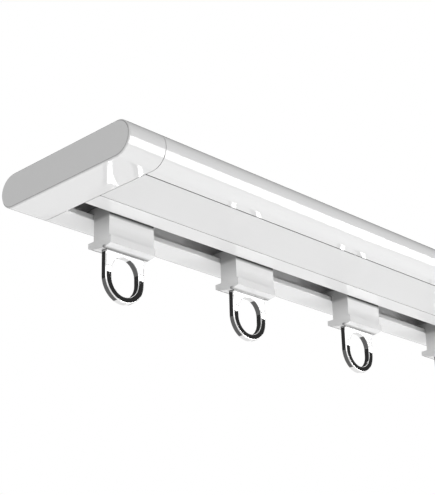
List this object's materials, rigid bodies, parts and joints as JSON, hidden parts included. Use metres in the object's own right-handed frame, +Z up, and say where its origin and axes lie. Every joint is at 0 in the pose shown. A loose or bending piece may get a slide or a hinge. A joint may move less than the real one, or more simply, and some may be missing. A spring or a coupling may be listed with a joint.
{
  "type": "curtain track",
  "caption": "Ceiling curtain track with a rounded front, flat cover strip, end caps and a row of sliding gliders that carry oval metal eyelets.",
  "frame": {"origin": "middle of the flat top face, where it lies against the ceiling", "axes": "+X along the track to the right, -Y to the rounded front, +Z up into the ceiling"},
  "size_m": [0.6, 0.06, 0.0385],
  "materials": {
    "track_white": "gloss",
    "cap_white": "gloss",
    "strip_white": "satin",
    "glider_white": "gloss",
    "eyelet_chrome": "polished"
  },
  "bodies": {
    "rail": {"track_profile": "track_white", "front_fascia": "track_white", "cover_strip": "strip_white", "end_cap_left": "cap_white", "end_cap_right": "cap_white"},
    "carrier_01": {"glider_01": "glider_white", "eyelet_01": "eyelet_chrome"},
    "carrier_02": {"glider_02": "glider_white", "eyelet_02": "eyelet_chrome"},
    "carrier_03": {"glider_03": "glider_white", "eyelet_03": "eyelet_chrome"},
    "carrier_04": {"glider_04": "glider_white", "eyelet_04": "eyelet_chrome"},
    "carrier_05": {"glider_05": "glider_white", "eyelet_05": "eyelet_chrome"},
    "carrier_06": {"glider_06": "glider_white", "eyelet_06": "eyelet_chrome"},
    "carrier_07": {"glider_07": "glider_white", "eyelet_07": "eyelet_chrome"},
    "carrier_08": {"glider_08": "glider_white", "eyelet_08": "eyelet_chrome"},
    "carrier_09": {"glider_09": "glider_white", "eyelet_09": "eyelet_chrome"},
    "carrier_10": {"glider_10": "glider_white", "eyelet_10": "eyelet_chrome"}
  },
  "joints": [
    {"name": "glider_01_slide", "type": "slide", "parent": "rail", "child": "carrier_01", "axis": [1, 0, 0], "range_m": [-0.01025, 0.0378]},
    {"name": "glider_02_slide", "type": "slide", "parent": "rail", "child": "carrier_02", "axis": [1, 0, 0], "range_m": [-0.0378, 0.0408]},
    {"name": "glider_03_slide", "type": "slide", "parent": "rail", "child": "carrier_03", "axis": [1, 0, 0], "range_m": [-0.0408, 0.04026]},
    {"name": "glider_04_slide", "type": "slide", "parent": "rail", "child": "carrier_04", "axis": [1, 0, 0], "range_m": [-0.04026, 0.04026]},
    {"name": "glider_05_slide", "type": "slide", "parent": "rail", "child": "carrier_05", "axis": [1, 0, 0], "range_m": [-0.04026, 0.04026]},
    {"name": "glider_06_slide", "type": "slide", "parent": "rail", "child": "carrier_06", "axis": [1, 0, 0], "range_m": [-0.04026, 0.04026]},
    {"name": "glider_07_slide", "type": "slide", "parent": "rail", "child": "carrier_07", "axis": [1, 0, 0], "range_m": [-0.04026, 0.04026]},
    {"name": "glider_08_slide", "type": "slide", "parent": "rail", "child": "carrier_08", "axis": [1, 0, 0], "range_m": [-0.04026, 0.04026]},
    {"name": "glider_09_slide", "type": "slide", "parent": "rail", "child": "carrier_09", "axis": [1, 0, 0], "range_m": [-0.04026, 0.04026]},
    {"name": "glider_10_slide", "type": "slide", "parent": "rail", "child": "carrier_10", "axis": [1, 0, 0], "range_m": [-0.04026, 0.01025]}
  ]
}
